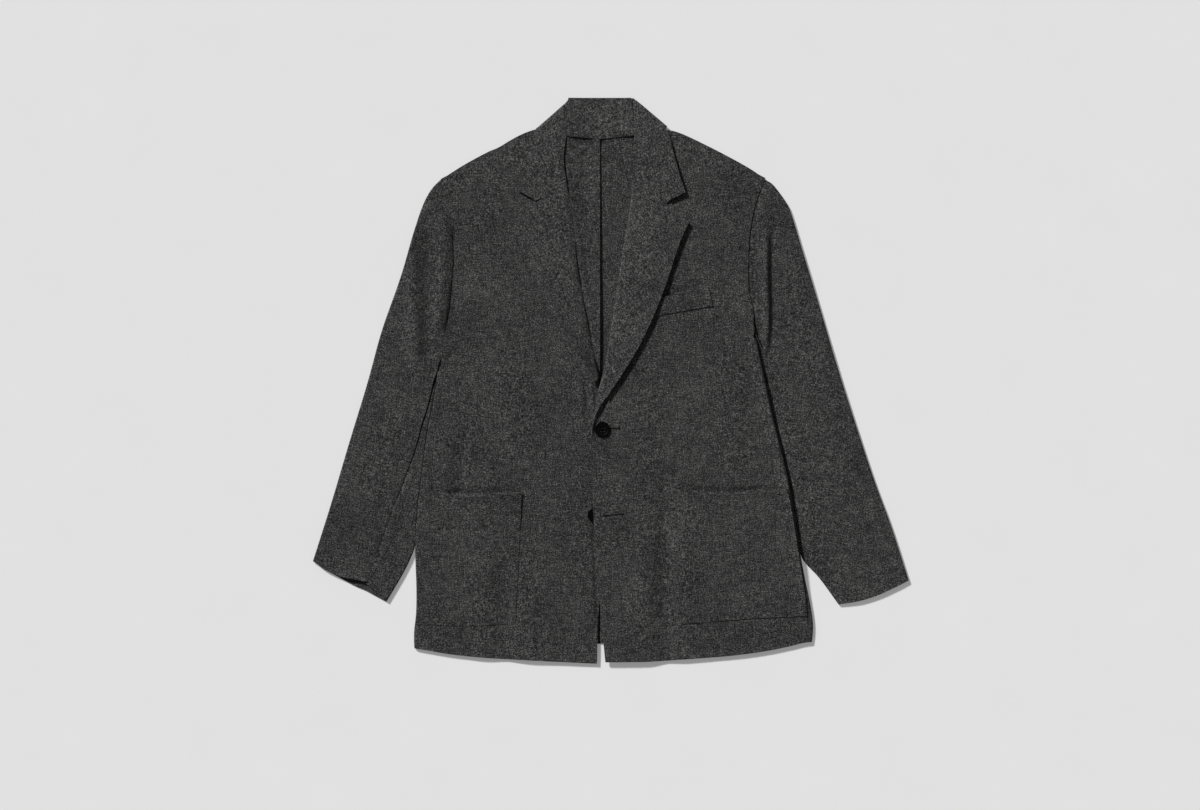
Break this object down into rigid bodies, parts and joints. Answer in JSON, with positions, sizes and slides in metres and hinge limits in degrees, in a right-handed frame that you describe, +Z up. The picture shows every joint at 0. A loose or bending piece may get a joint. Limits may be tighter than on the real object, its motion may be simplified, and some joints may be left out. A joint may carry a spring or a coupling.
{
  "type": "single breasted blazer",
  "caption": "Unlined dark grey wool flannel blazer with notch lapels and patch pockets, laid flat with its front up.",
  "frame": {"origin": "on the surface under the middle of the flat jacket", "axes": "+Z up through the lying jacket, +Y towards the collar, +X towards the wearer's left"},
  "size_m": [0.8598, 0.8199, 0.013],
  "materials": {
    "wool_flannel": "matt, light nap",
    "button_resin": "satin"
  },
  "bodies": {
    "root": {"back_left": "wool_flannel", "back_right": "wool_flannel", "side_left": "wool_flannel", "side_right": "wool_flannel", "front_left": "wool_flannel", "front_right": "wool_flannel", "lapel_left": "wool_flannel", "lapel_right": "wool_flannel", "collar_stand": "wool_flannel", "collar_leaf": "wool_flannel", "sleeve_top_left": "wool_flannel", "sleeve_top_right": "wool_flannel", "sleeve_under_left": "wool_flannel", "sleeve_under_right": "wool_flannel", "pocket_left": "wool_flannel", "pocket_right": "wool_flannel", "welt": "wool_flannel", "button_upper": "button_resin", "button_lower": "button_resin"}
  },
  "joints": []
}
